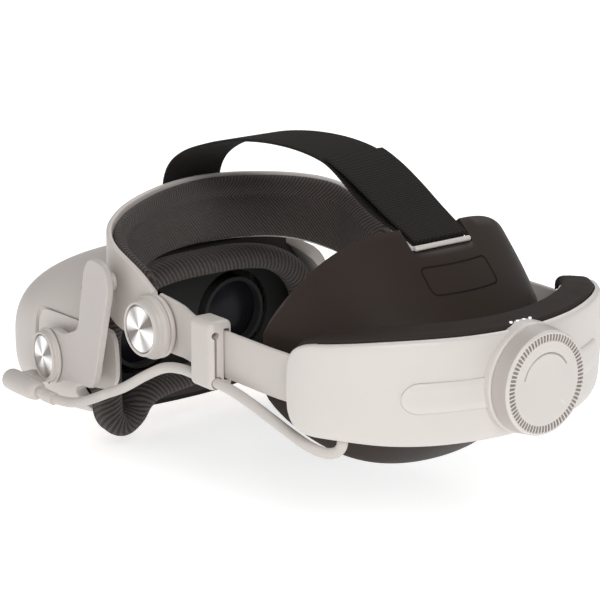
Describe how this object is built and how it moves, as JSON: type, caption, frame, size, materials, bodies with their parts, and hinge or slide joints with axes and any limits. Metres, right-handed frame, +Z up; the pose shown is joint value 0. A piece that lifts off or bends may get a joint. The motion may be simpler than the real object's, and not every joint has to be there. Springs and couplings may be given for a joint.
{
  "type": "vr headset",
  "caption": "Virtual-reality headset with a visor hung from a padded halo band, swinging side arms, a rear battery housing with a fit dial, a cradle and a top strap.",
  "frame": {"origin": "centre of the wearer's head, 7 mm in front of the line through the two temple pivots", "axes": "+X towards the wearer's left, -Y towards the visor, +Z up"},
  "size_m": [0.2061, 0.351, 0.1742],
  "materials": {
    "white_shell": "fine satin moulded plastic",
    "dark_shell": "smooth satin moulded plastic",
    "knit_fabric": "ribbed knit over foam",
    "webbing": "ribbed woven webbing",
    "spun_metal": "radially spun",
    "steel": "brushed",
    "circuit_board": "solder-masked board",
    "battery_wrap": "shrink wrap",
    "lens": "moulded lens with ring grooves",
    "light_guide": "clear light guide",
    "cable_jacket": "soft matt jacket"
  },
  "bodies": {
    "halo": {"halo_shell": "white_shell", "halo_pad": "knit_fabric", "strap_anchor": "white_shell", "top_strap": "webbing", "bracket_plate_left": "white_shell", "bracket_plate_right": "white_shell", "hinge_bezel_left": "white_shell", "hinge_bezel_right": "white_shell", "hinge_cap_left": "spun_metal", "hinge_cap_right": "spun_metal", "hinge_pin_left": "steel", "hinge_pin_right": "steel", "temple_bezel_left": "white_shell", "temple_bezel_right": "white_shell", "temple_cap_left": "spun_metal", "temple_cap_right": "spun_metal", "temple_pin_left": "steel", "temple_pin_right": "steel"},
    "headset": {"headset_front_shell": "white_shell", "lens_frame": "dark_shell", "ipd_rail": "steel", "display_panel": "dark_shell", "main_board": "circuit_board", "headset_battery": "battery_wrap", "cooling_fan": "dark_shell", "usb_port": "steel", "face_spacer": "dark_shell", "face_pad": "knit_fabric", "headset_arm_left": "white_shell", "headset_arm_right": "white_shell", "usb_plug": "white_shell", "tracking_camera_upper_left": "dark_shell", "tracking_camera_upper_right": "dark_shell", "tracking_camera_lower_left": "dark_shell", "tracking_camera_lower_right": "dark_shell"},
    "lens_carriage_left": {"lens_barrel_left": "dark_shell", "lens_left": "lens"},
    "lens_carriage_right": {"lens_barrel_right": "dark_shell", "lens_right": "lens"},
    "power_key": {"power_button": "white_shell"},
    "volume_key": {"volume_rocker": "white_shell"},
    "rear_arms": {"arm_left": "white_shell", "arm_right": "white_shell", "usb_cable": "cable_jacket"},
    "clip": {"cable_clip": "white_shell"},
    "housing": {"rear_housing_shell": "white_shell", "rear_top_cover": "dark_shell", "led_light_guide": "light_guide", "cradle_shell": "dark_shell", "cradle_cushion": "knit_fabric", "battery_cell_left": "battery_wrap", "battery_cell_right": "battery_wrap", "battery_board": "circuit_board", "strap_bar": "white_shell", "strap_tail": "webbing"},
    "dial": {"dial_knob": "white_shell", "dial_shaft": "steel", "pinion": "dark_shell"},
    "rack_l": {"rack_left": "dark_shell"},
    "rack_r": {"rack_right": "dark_shell"}
  },
  "joints": [
    {"name": "headset_tilt", "type": "hinge", "parent": "halo", "child": "headset", "pos_m": [0, -0.082, -0.036], "axis": [1, 0, 0], "range_deg": [-1.5, 8], "deforming": ["usb_cable"]},
    {"name": "arms_swing", "type": "hinge", "parent": "halo", "child": "rear_arms", "pos_m": [0, 0.007, 0], "axis": [1, 0, 0], "range_deg": [-12, 12], "deforming": ["usb_cable", "top_strap"]},
    {"name": "housing_slide", "type": "slide", "parent": "rear_arms", "child": "housing", "axis": [0, 1, 0], "range_m": [-0.0015, 0.01], "deforming": ["usb_cable", "top_strap"]},
    {"name": "dial_turn", "type": "hinge", "parent": "housing", "child": "dial", "pos_m": [0, 0.189, 0.002], "axis": [0, 1, 0], "range_deg": [-12, 73]},
    {"name": "rack_left_travel", "type": "hinge", "parent": "housing", "child": "rack_l", "pos_m": [0, 0.073, 0.0136], "axis": [0, 0, 1], "range_deg": [-5.6, 1]},
    {"name": "rack_right_travel", "type": "hinge", "parent": "housing", "child": "rack_r", "pos_m": [0, 0.073, -0.0096], "axis": [0, 0, 1], "range_deg": [-1, 5.6]},
    {"name": "clip_slide", "type": "slide", "parent": "rear_arms", "child": "clip", "axis": [0, 1, 0], "range_m": [0, 0.025], "deforming": ["usb_cable"]},
    {"name": "lens_left_slide", "type": "slide", "parent": "headset", "child": "lens_carriage_left", "axis": [1, 0, 0], "range_m": [-0.0025, 0.0025]},
    {"name": "lens_right_slide", "type": "slide", "parent": "headset", "child": "lens_carriage_right", "axis": [1, 0, 0], "range_m": [-0.0025, 0.0025]},
    {"name": "power_press", "type": "slide", "parent": "headset", "child": "power_key", "axis": [1, 0, 0], "range_m": [0, 0.0008], "stiffness_N_per_m": 800, "springref_m": -0.001},
    {"name": "volume_press", "type": "slide", "parent": "headset", "child": "volume_key", "axis": [0, 0, 1], "range_m": [0, 0.0008], "stiffness_N_per_m": 800, "springref_m": -0.001}
  ],
  "couplings": [
    {"joint": "dial_turn", "follows": "housing_slide", "rad_per_m": 125},
    {"joint": "rack_left_travel", "follows": "housing_slide", "rad_per_m": -9.3809},
    {"joint": "rack_right_travel", "follows": "housing_slide", "rad_per_m": 9.3809},
    {"joint": "lens_right_slide", "follows": "lens_left_slide", "ratio": -1}
  ]
}
